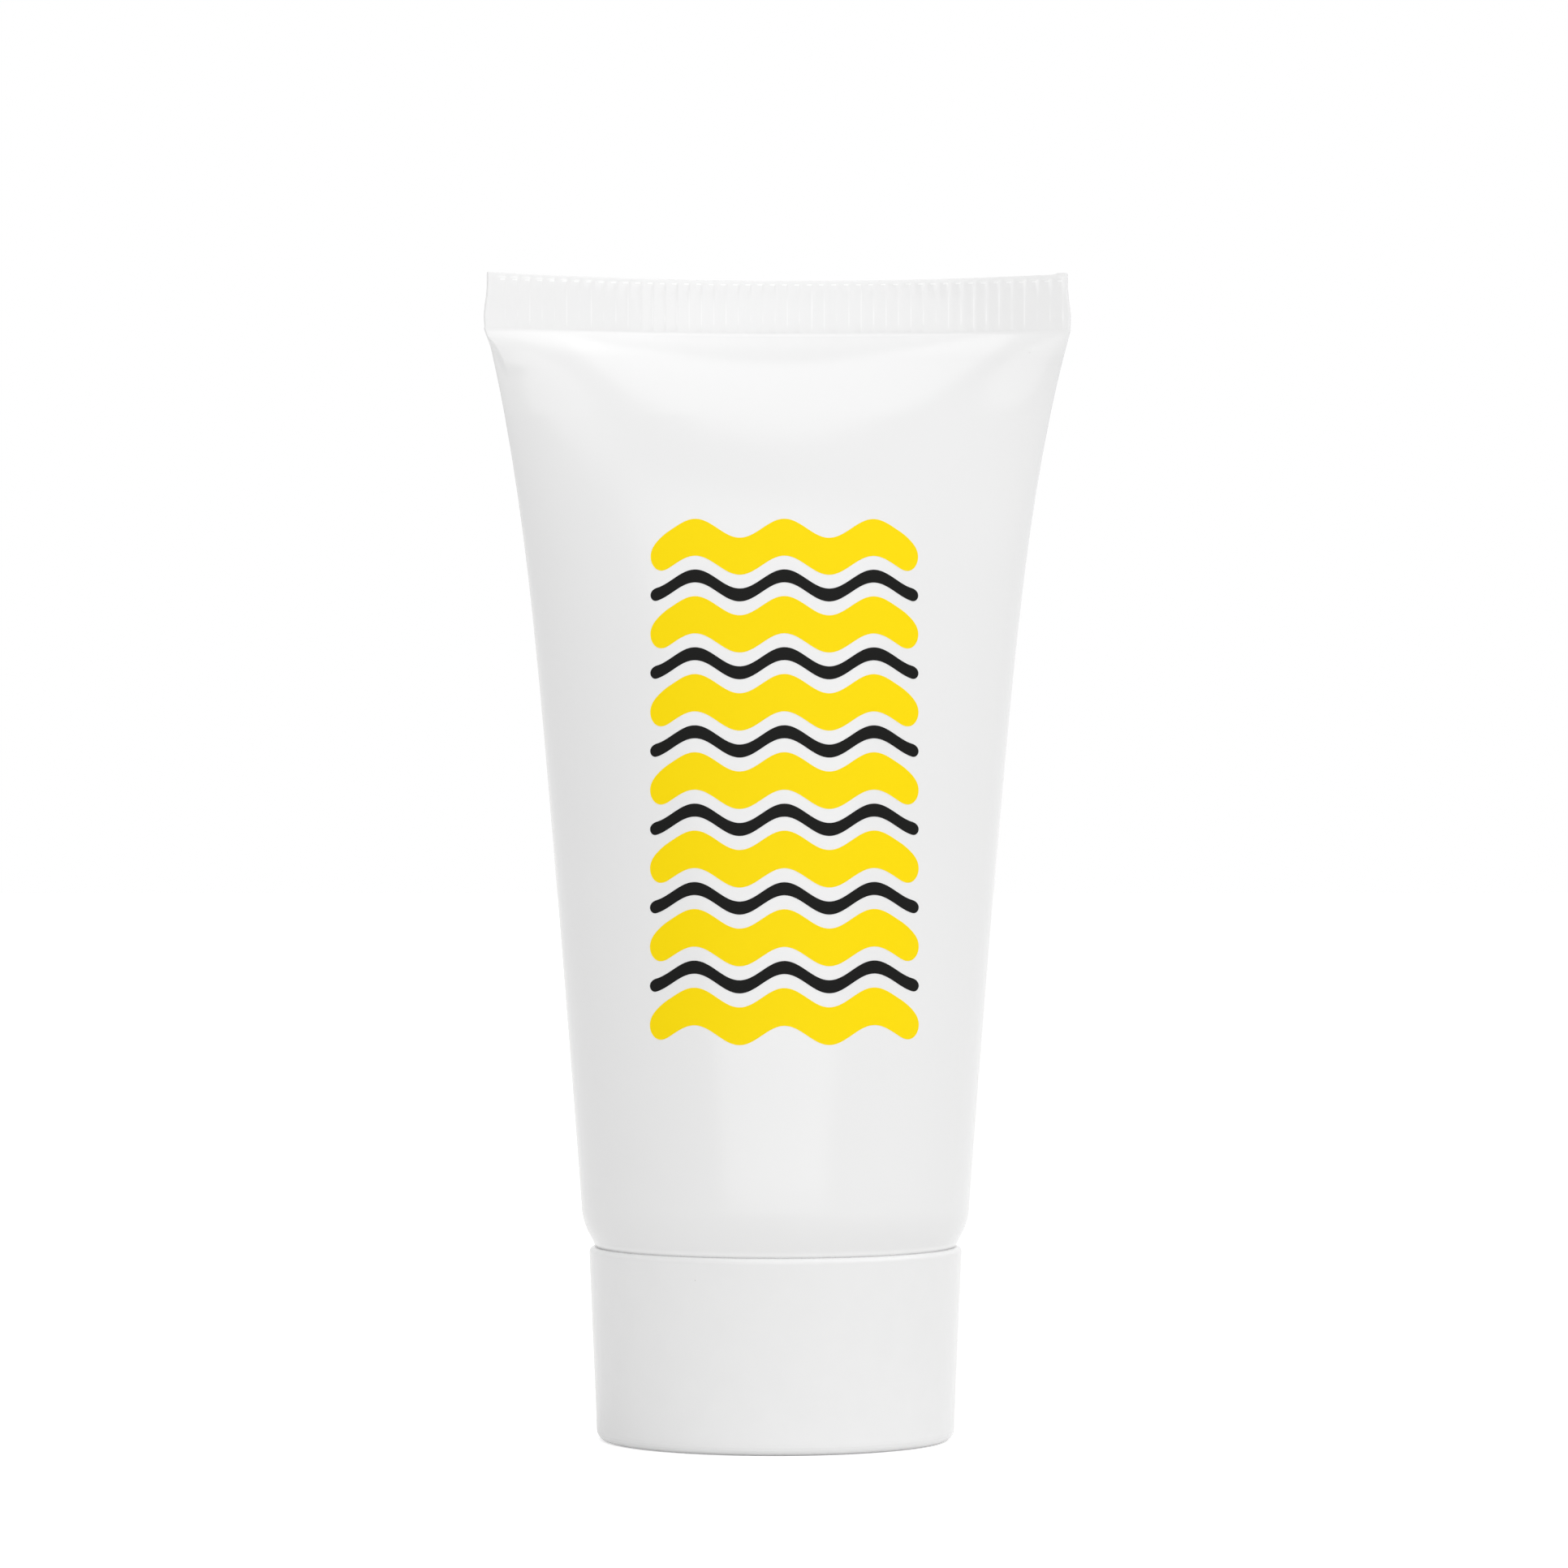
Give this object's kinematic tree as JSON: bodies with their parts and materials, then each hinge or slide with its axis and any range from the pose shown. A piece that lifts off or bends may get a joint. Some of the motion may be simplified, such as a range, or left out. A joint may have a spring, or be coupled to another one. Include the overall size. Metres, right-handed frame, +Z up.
{
  "type": "squeeze tube with screw cap",
  "caption": "White squeeze tube of sun lotion, round at the shoulder and flattened to a crimped seal, standing upside down on a tapered screw cap",
  "frame": {"origin": "middle of the cap's flat end, on the surface that the tube stands on", "axes": "+Z up the axis of the tube to the crimped seal, -Y the front, +X along the seal to the right as seen from the front"},
  "size_m": [0.0525, 0.035, 0.1047],
  "materials": {
    "sleeve_ldpe": "satin",
    "head_hdpe": "satin",
    "foil": "satin",
    "lotion": "satin",
    "cap_pp": "satin",
    "liner_foam": "matte"
  },
  "bodies": {
    "cap": {"cap": "cap_pp"},
    "liner": {"liner": "liner_foam"},
    "tube": {"sleeve": "sleeve_ldpe", "head": "head_hdpe", "foil_seal": "foil", "lotion": "lotion"}
  },
  "joints": [
    {"name": "tube_turn", "type": "hinge", "parent": "cap", "child": "liner", "pos_m": [0, 0, 0], "axis": [0, 0, 1], "range_deg": [0, 2160]},
    {"name": "tube_rise", "type": "slide", "parent": "liner", "child": "tube", "axis": [0, 0, 1], "range_m": [0, 0.0151]}
  ],
  "couplings": [
    {"joint": "tube_rise", "follows": "tube_turn", "m_per_rad": 0.00039789}
  ]
}
